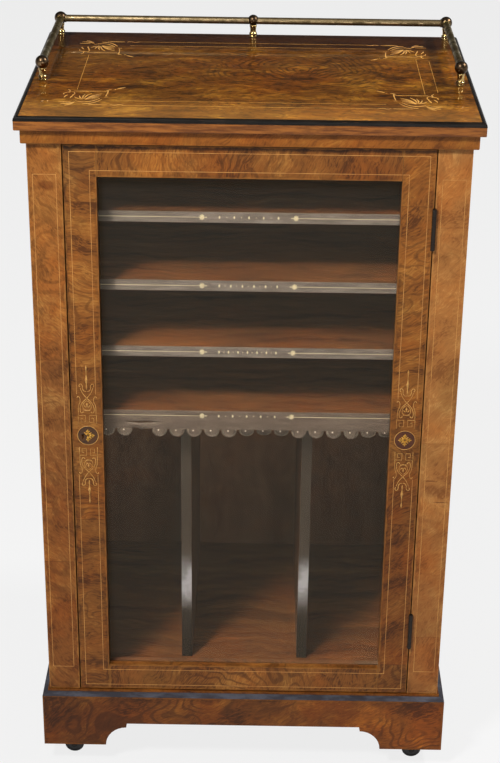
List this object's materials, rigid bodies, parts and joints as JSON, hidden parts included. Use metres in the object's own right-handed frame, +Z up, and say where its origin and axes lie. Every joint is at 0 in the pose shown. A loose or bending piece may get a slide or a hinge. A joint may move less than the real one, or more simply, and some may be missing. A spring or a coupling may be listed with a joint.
{
  "type": "sheet music cabinet",
  "caption": "Glazed walnut music cabinet with a hinged door, fitted shelves, upright dividers, a brass gallery rail and swivelling castors.",
  "frame": {"origin": "on the floor, under the middle of the top board", "axes": "+Z up, the glazed front faces -Y, +X to the right as seen from the front"},
  "size_m": [0.587, 0.41, 1.0192],
  "materials": {
    "walnut": "figured walnut veneer, French polished, warm brown",
    "top_walnut": "golden figured walnut veneer, high gloss, boxwood marquetry",
    "dark_walnut": "darker walnut veneer, satin polish",
    "inside_wood": "red-brown stained interior wood, dull",
    "rough_wood": "unpolished secondary wood",
    "ebonised": "ebonised wood, semi-gloss black",
    "leather": "faded grey leather with gilt tooling",
    "glass": "clear old sheet glass",
    "gallery_brass": "aged brown brass with rubbed highlights",
    "lock_brass": "plain aged brass",
    "castor_brass": "dull darkened brass",
    "castor_wheel": "dark worn castor wheel, matt",
    "hinge_metal": "blackened brass butt hinge"
  },
  "bodies": {
    "case": {"back_panel": "rough_wood", "base_fillet": "dark_walnut", "carcase_bottom": "inside_wood", "carcase_side_left": "walnut", "carcase_side_right": "walnut", "carcase_top": "inside_wood", "corner_block_back_left": "rough_wood", "corner_block_back_right": "rough_wood", "corner_block_front_left": "rough_wood", "corner_block_front_right": "rough_wood", "divider_left": "inside_wood", "divider_right": "inside_wood", "frieze_board": "walnut", "gallery_post_back_left": "gallery_brass", "gallery_post_back_middle": "gallery_brass", "gallery_post_back_right": "gallery_brass", "gallery_post_front_left": "gallery_brass", "gallery_post_front_right": "gallery_brass", "gallery_rail_back": "gallery_brass", "gallery_rail_left": "gallery_brass", "gallery_rail_right": "gallery_brass", "hinge_lower_case_leaf": "hinge_metal", "hinge_upper_case_leaf": "hinge_metal", "pilaster_left": "walnut", "pilaster_right": "walnut", "plinth_back": "rough_wood", "plinth_cap": "ebonised", "plinth_front": "dark_walnut", "plinth_side_left": "dark_walnut", "plinth_side_right": "dark_walnut", "shelf_1": "inside_wood", "shelf_2": "inside_wood", "shelf_3": "inside_wood", "shelf_4": "inside_wood", "shelf_edge_1": "leather", "shelf_edge_2": "leather", "shelf_edge_3": "leather", "shelf_edge_fall": "leather", "top_board": "top_walnut", "top_edge_band": "ebonised"},
    "door": {"door_stile_lock": "walnut", "door_stile_hinge": "walnut", "door_rail_top": "walnut", "door_rail_bottom": "walnut", "door_glass": "glass", "glazing_bead": "dark_walnut", "lock_case": "lock_brass", "hinge_upper_door_leaf": "hinge_metal", "hinge_lower_door_leaf": "hinge_metal"},
    "lock_bolt": {"lock_bolt": "lock_brass"},
    "castor_front_left": {"castor_fork_front_left": "castor_brass"},
    "wheel_front_left": {"castor_wheel_front_left": "castor_wheel"},
    "castor_front_right": {"castor_fork_front_right": "castor_brass"},
    "wheel_front_right": {"castor_wheel_front_right": "castor_wheel"},
    "castor_back_left": {"castor_fork_back_left": "castor_brass"},
    "wheel_back_left": {"castor_wheel_back_left": "castor_wheel"},
    "castor_back_right": {"castor_fork_back_right": "castor_brass"},
    "wheel_back_right": {"castor_wheel_back_right": "castor_wheel"}
  },
  "joints": [
    {"name": "door_hinge", "type": "hinge", "parent": "case", "child": "door", "pos_m": [0.2354, -0.1937, 0.538], "axis": [0, 0, 1], "range_deg": [0, 170]},
    {"name": "lock_bolt_slide", "type": "slide", "parent": "door", "child": "lock_bolt", "axis": [-1, 0, 0], "range_m": [0, 0.006]},
    {"name": "castor_swivel_front_left", "type": "hinge", "parent": "case", "child": "castor_front_left", "pos_m": [-0.262, -0.169, 0.034], "axis": [0, 0, 1], "continuous": true},
    {"name": "wheel_roll_front_left", "type": "hinge", "parent": "castor_front_left", "child": "wheel_front_left", "pos_m": [-0.2495, -0.169, 0.014], "axis": [0, 1, 0], "continuous": true},
    {"name": "castor_swivel_front_right", "type": "hinge", "parent": "case", "child": "castor_front_right", "pos_m": [0.262, -0.169, 0.034], "axis": [0, 0, 1], "continuous": true},
    {"name": "wheel_roll_front_right", "type": "hinge", "parent": "castor_front_right", "child": "wheel_front_right", "pos_m": [0.2495, -0.169, 0.014], "axis": [0, 1, 0], "continuous": true},
    {"name": "castor_swivel_back_left", "type": "hinge", "parent": "case", "child": "castor_back_left", "pos_m": [-0.262, 0.1685, 0.034], "axis": [0, 0, 1], "continuous": true},
    {"name": "wheel_roll_back_left", "type": "hinge", "parent": "castor_back_left", "child": "wheel_back_left", "pos_m": [-0.2495, 0.1685, 0.014], "axis": [0, 1, 0], "continuous": true},
    {"name": "castor_swivel_back_right", "type": "hinge", "parent": "case", "child": "castor_back_right", "pos_m": [0.262, 0.1685, 0.034], "axis": [0, 0, 1], "continuous": true},
    {"name": "wheel_roll_back_right", "type": "hinge", "parent": "castor_back_right", "child": "wheel_back_right", "pos_m": [0.2495, 0.1685, 0.014], "axis": [0, 1, 0], "continuous": true}
  ]
}
